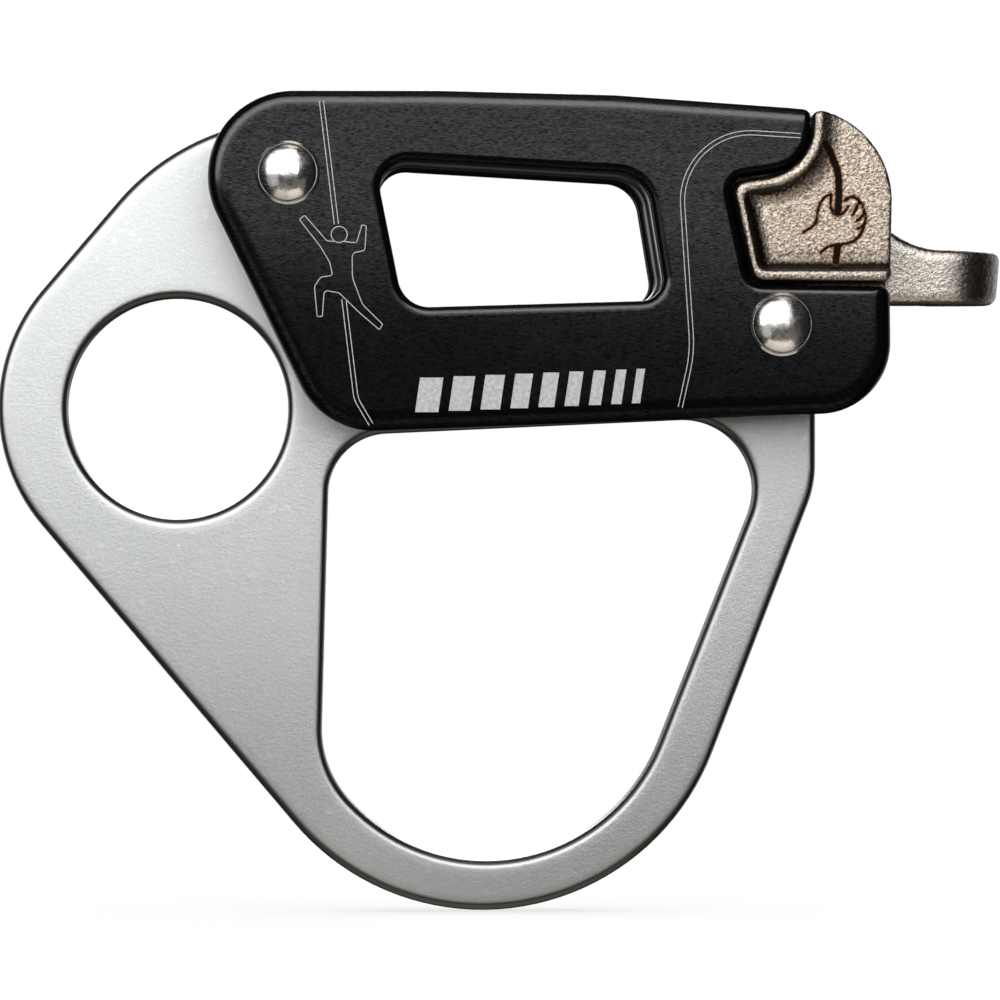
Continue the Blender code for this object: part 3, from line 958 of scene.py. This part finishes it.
def hand_strokes():
    """A generic hand round a rope: (half width, path of (x, z) on the saddle's panel)."""
    rope = ROPE_MARK_HALF
    line = LINE_MARK_HALF
    strokes = [
        (rope, [(34.6, 38.7), (35.5, 37.0), (36.0, 35.5), (36.1, 33.4), (36.0, 31.5)]),
        (rope, [(36.0, 27.6), (35.9, 26.9), (35.8, 26.1)]),
        (line, [(32.3, 29.2), (33.6, 30.2), (33.9, 31.7), (34.5, 32.9), (35.3, 33.3)]),
        (line, [(35.3, 33.3), (35.2, 32.2), (35.5, 31.3), (36.1, 31.0), (36.7, 31.4), (37.1, 32.0)]),
        (line, [(36.7, 32.6), (37.5, 33.0), (38.3, 32.6), (38.7, 31.9)]),
        (line, [(38.3, 32.5), (37.9, 31.6), (37.6, 31.1)]),
        (line, [(38.9, 31.4), (38.4, 30.7), (38.0, 30.4)]),
        (line, [(38.9, 30.1), (38.4, 29.7), (38.1, 29.6)]),
        (line, [(38.7, 31.9), (39.0, 30.9), (38.8, 29.8), (38.4, 28.9), (37.6, 28.2), (36.3, 27.9)]),
        (line, [(36.3, 27.9), (35.1, 27.7), (34.1, 27.0)]),
    ]
    return [(half, smooth_path(points)) for half, points in strokes]


def stroke_distance(points, strokes):
    """Distance from each (x, z) point to the nearest stroke's edge, in millimetres."""
    best = np.full(len(points), OFF_THE_MARK)
    for half, stroke in strokes:
        line = np.array(stroke)
        for start, end in zip(line, line[1:]):
            along = end - start
            length = max(float(along @ along), 1e-9)
            reach = np.clip((points - start) @ along / length, 0.0, 1.0)
            gap = np.linalg.norm(points - (start + reach[:, None] * along), axis=1)
            best = np.minimum(best, gap - half)
    return best


def add_mark_attribute(mesh):
    """Store each vertex's distance to the burnt mark; vertices off the panels get a far value."""
    count = len(mesh.vertices)
    places = np.empty(count * 3)
    mesh.vertices.foreach_get("co", places)
    places = places.reshape(-1, 3) / MM
    distance = np.full(count, OFF_THE_MARK)
    slack = 0.6
    on_panel = np.abs(places[:, 1]) > PLATE_OUTER - PANEL_DEPTH - slack
    distance[on_panel] = stroke_distance(places[on_panel][:, [0, 2]], hand_strokes())
    layer = mesh.attributes.new("mark_distance", "FLOAT", "POINT")
    layer.data.foreach_set("value", distance.astype(np.float32))


def brake_saddle():
    """The casting: its solid with softened edges and a bumpy surface."""
    saddle = saddle_solid()
    saddle.name = "saddle_casting"
    remesh = saddle.modifiers.new("remesh", "REMESH")
    remesh.mode = "VOXEL"
    remesh.voxel_size = 0.19 * MM
    smooth = saddle.modifiers.new("smooth", "SMOOTH")
    smooth.factor = 0.5
    smooth.iterations = 12
    grain = bpy.data.textures.new("cast_grain", "CLOUDS")
    grain.noise_scale = 0.40 * MM
    grain.noise_depth = 2
    displace = saddle.modifiers.new("grain", "DISPLACE")
    displace.texture = grain
    displace.texture_coords = "LOCAL"
    displace.mid_level = 0.5
    displace.strength = 0.09 * MM
    bake_modifiers(saddle)
    saddle.data.materials.clear()
    saddle.data.materials.append(STEEL)
    saddle.data.shade_smooth()
    add_mark_attribute(saddle.data)
    return saddle


place(brake_saddle(), "saddle", "brake_saddle")

# ---------------------------------------------------------------- engraved marks
LINE_WIDTH = 0.09
MARK_HEIGHT = 0.015
MARK_ROOT = 0.12


def ribbon(mesh, path, width, face, side, closed=False):
    """A flat strip along a path that stands a hair proud of a plate's face."""
    count = len(path)
    rings = []
    for index, (x, z) in enumerate(path):
        before = path[index - 1] if index or closed else path[index]
        after = path[(index + 1) % count] if index < count - 1 or closed else path[index]
        along = (Vector(after) - Vector(before)).normalized()
        across = Vector((-along.y, along.x)) * width / 2
        top = face + side * MARK_HEIGHT
        low = face - side * MARK_ROOT
        left = (x + across.x, z + across.y)
        right = (x - across.x, z - across.y)
        corners = [(left, low), (left, top), (right, top), (right, low)]
        rings.append([mesh.verts.new((cx * MM, y * MM, cz * MM)) for (cx, cz), y in corners])
    pairs = list(zip(rings, rings[1:]))
    if closed:
        pairs.append((rings[-1], rings[0]))
    for ring_a, ring_b in pairs:
        for k in range(4):
            m = (k + 1) % 4
            mesh.faces.new((ring_a[k], ring_a[m], ring_b[m], ring_b[k]))
    if not closed:
        mesh.faces.new(rings[0])
        mesh.faces.new(rings[-1][::-1])


def rounded_path(corners):
    """An open path whose inner corners are arcs."""
    path = [corners[0][:2]]
    for index in range(1, len(corners) - 1):
        x, z, radius = corners[index]
        before = Vector(corners[index - 1][:2])
        after = Vector(corners[index + 1][:2])
        path += corner_arc(before, Vector((x, z)), after, radius, COARSE_ARC)
    path.append(corners[-1][:2])
    return path


def parallel(path, gap):
    """The path moved sideways by a gap."""
    moved = []
    for index, (x, z) in enumerate(path):
        before = Vector(path[max(index - 1, 0)])
        after = Vector(path[min(index + 1, len(path) - 1)])
        along = (after - before).normalized()
        moved.append((x - along.y * gap, z + along.x * gap))
    return moved


ROPE_GAP = 0.45
BRAKE_ROPE = [(31.9, 39.5, 0), (18.7, 40.3, 7.3), (20.3, 16.3, 14.0), (19.0, 10.4, 0)]
CLIMBER_ROPE_TOP = [(-19.4, 43.2, 0), (-18.6, 36.7, 60.0), (-17.8, 30.0, 0)]
CLIMBER_ROPE_LOW = [(-17.0, 22.0, 0), (-15.7, 11.3, 3.0), (-14.1, 8.6, 0)]
CLIMBER_HEAD = (-17.5, 28.9)
CLIMBER_HEAD_RADIUS = 0.86
CLIMBER = [
    (-18.05, 28.15, 0), (-18.8, 28.2, 0.4), (-21.2, 30.95, 0.12), (-21.75, 30.5, 0.12),
    (-19.5, 27.6, 1.2), (-18.5, 25.9, 1.5), (-18.2, 24.5, 0.3), (-19.5, 24.35, 0.7),
    (-20.15, 23.3, 0.6), (-19.85, 20.1, 0.12), (-19.3, 20.15, 0.12), (-19.1, 22.95, 0.4),
    (-17.5, 22.65, 0.7), (-15.4, 20.6, 1.5), (-13.2, 18.7, 0.12), (-12.85, 19.3, 0.12),
    (-15.0, 21.4, 1.5), (-16.1, 24.3, 3.0), (-16.1, 26.9, 0.5), (-14.75, 27.2, 0.35),
    (-14.6, 29.8, 0.12), (-15.05, 29.95, 0.12), (-15.65, 28.0, 0.3), (-16.95, 28.15, 0),
]


def bar_marks(mesh, face, side):
    """A plain row of slanted bars that narrow towards the right."""
    left, bottom = -9.4, 9.9
    rise = 0.041
    height = 3.7
    slant = 0.55
    count = 9
    first_width = 2.5
    narrowing = 0.2
    gap = 1.1
    low_y = (face - side * MARK_HEIGHT) * MM
    top_y = (face + side * MARK_HEIGHT) * MM
    x = left
    for bar in range(count):
        width = first_width - narrowing * bar
        z = bottom + (x - left) * rise
        outline = [(x, z), (x + slant, z + height), (x + slant + width, z + height), (x + width, z)]
        lows = [mesh.verts.new((px * MM, low_y, pz * MM)) for px, pz in outline]
        tops = [mesh.verts.new((px * MM, top_y, pz * MM)) for px, pz in outline]
        mesh.faces.new(lows[::-1])
        mesh.faces.new(tops)
        for k in range(4):
            m = (k + 1) % 4
            mesh.faces.new((lows[k], lows[m], tops[m], tops[k]))
        x += width + gap


def engraved_marks(name, side):
    face = side * PLATE_OUTER
    mesh = bmesh.new()
    for rope in (BRAKE_ROPE, CLIMBER_ROPE_TOP, CLIMBER_ROPE_LOW):
        path = rounded_path(rope)
        for gap in (-ROPE_GAP / 2, ROPE_GAP / 2):
            ribbon(mesh, parallel(path, gap), LINE_WIDTH, face, side)
    ribbon(mesh, rounded_path(CLIMBER), LINE_WIDTH, face, side)
    head = circle_outline(CLIMBER_HEAD, CLIMBER_HEAD_RADIUS, 32)
    ribbon(mesh, head, LINE_WIDTH, face, side, closed=True)
    bar_marks(mesh, face, side)
    return object_from(name, mesh, MARK, crease_degrees=30)


place(engraved_marks("front_engraving", -1), "side_plate")
place(engraved_marks("rear_engraving", 1), "side_plate")

# ---------------------------------------------------------------- stage, lights and camera


def pale_floor():
    """A white floor with a painted soft shadow only where the object comes close to it."""
    nodes = Nodes("pale_floor")
    contact = nodes.add("ShaderNodeAmbientOcclusion", samples=16)
    contact.inputs["Distance"].default_value = 0.03
    glow = nodes.add("ShaderNodeEmission")
    # Painted contact shadow: ambient occlusion dims the floor's glow near the object.
    nodes.link(nodes.remap(contact.outputs["AO"], 0.35, 0.95, 0.80, 1.0), glow.inputs["Strength"])
    output = nodes.tree.nodes["Material Output"]
    nodes.link(glow.outputs["Emission"], output.inputs["Surface"])
    nodes.tree.nodes.remove(nodes.shader)
    gap = 0.0002
    bpy.ops.mesh.primitive_plane_add(size=8.0, location=(0.0, 0.0, cad_box[0].z - gap))
    floor = bpy.context.object
    floor.name = "floor"
    floor.data.materials.append(nodes.material)
    floor.visible_glossy = False
    floor.visible_diffuse = False
    floor.visible_shadow = False


def studio_world():
    """White to the camera, and a dim studio to the object's surfaces."""
    world = bpy.data.worlds.new("studio")
    bpy.context.scene.world = world
    world.use_nodes = True
    tree = world.node_tree
    tree.nodes.clear()
    path = tree.nodes.new("ShaderNodeLightPath")
    seen = tree.nodes.new("ShaderNodeBackground")
    seen.inputs["Color"].default_value = (1.0, 1.0, 1.0, 1.0)
    room = tree.nodes.new("ShaderNodeBackground")
    room.inputs["Color"].default_value = (0.020, 0.020, 0.020, 1.0)
    mix = tree.nodes.new("ShaderNodeMixShader")
    output = tree.nodes.new("ShaderNodeOutputWorld")
    tree.links.new(path.outputs["Is Camera Ray"], mix.inputs["Fac"])
    tree.links.new(room.outputs["Background"], mix.inputs[1])
    tree.links.new(seen.outputs["Background"], mix.inputs[2])
    tree.links.new(mix.outputs["Shader"], output.inputs["Surface"])


def softbox(name, place_at, width, height, watts, colour=(1.0, 1.0, 1.0), aim=(0.0, 0.0, 0.0)):
    lamp = bpy.data.lights.new(name, "AREA")
    lamp.shape = "RECTANGLE"
    lamp.size = width
    lamp.size_y = height
    lamp.energy = watts
    lamp.color = colour
    made = bpy.data.objects.new(name, lamp)
    made.location = place_at
    made.rotation_euler = (Vector(aim) - Vector(place_at)).to_track_quat("-Z", "Y").to_euler()
    made.visible_camera = False
    bpy.context.scene.collection.objects.link(made)


def photo_camera():
    """Level camera a little left of the middle, far enough away for a flat perspective."""
    data = bpy.data.cameras.new("camera")
    data.sensor_width = 36.0
    data.lens = 252.4
    data.clip_start = 0.01
    data.clip_end = 20.0
    camera = bpy.data.objects.new("camera", data)
    camera.location = (-0.0185, -0.768, 0.0080)
    aim = Vector((-0.0003, PLATE_FRONT * MM, 0.0005))
    camera.rotation_euler = (aim - camera.location).to_track_quat("-Z", "Y").to_euler()
    bpy.context.scene.collection.objects.link(camera)
    bpy.context.scene.camera = camera


pale_floor()
studio_world()
softbox("key", (-0.21, -0.24, 0.2600), 0.74, 0.515, 2.75, aim=(-0.21, -0.031, 0.1916))
softbox("key_skirt", (-0.21, -0.32, -0.016), 0.74, 0.06, 0.018, aim=(-0.21, 0.0, -0.016))
softbox("overhead", (0.05, 0.05, 0.70), 0.40, 0.30, 0.5, (1.0, 0.92, 0.84))
softbox("card_left", (-0.07, -0.34, -0.36), 0.14, 0.60, 0.035, (1.0, 0.89, 0.77), aim=(0.0, 0.02, 0.0))
softbox("card_right", (0.24, -0.34, -0.36), 0.40, 0.60, 0.11, (1.0, 0.89, 0.77), aim=(0.0, 0.02, 0.0))
softbox("table_glow", (0.0, -0.06, -0.30), 0.45, 0.40, 0.50, (1.0, 0.91, 0.80))
softbox("side_card", (-0.45, -0.45, -0.22), 0.35, 0.35, 0.22)
softbox("rear_fill", (0.0, 0.85, 0.40), 0.60, 0.50, 5.0)
for side, label in ((-1, "left"), (1, "right")):
    softbox(f"rear_{label}", (side * 0.60, 0.60, -0.05), 0.60, 0.80, 2.4)
photo_camera()
bpy.context.scene.view_settings.view_transform = "Standard"
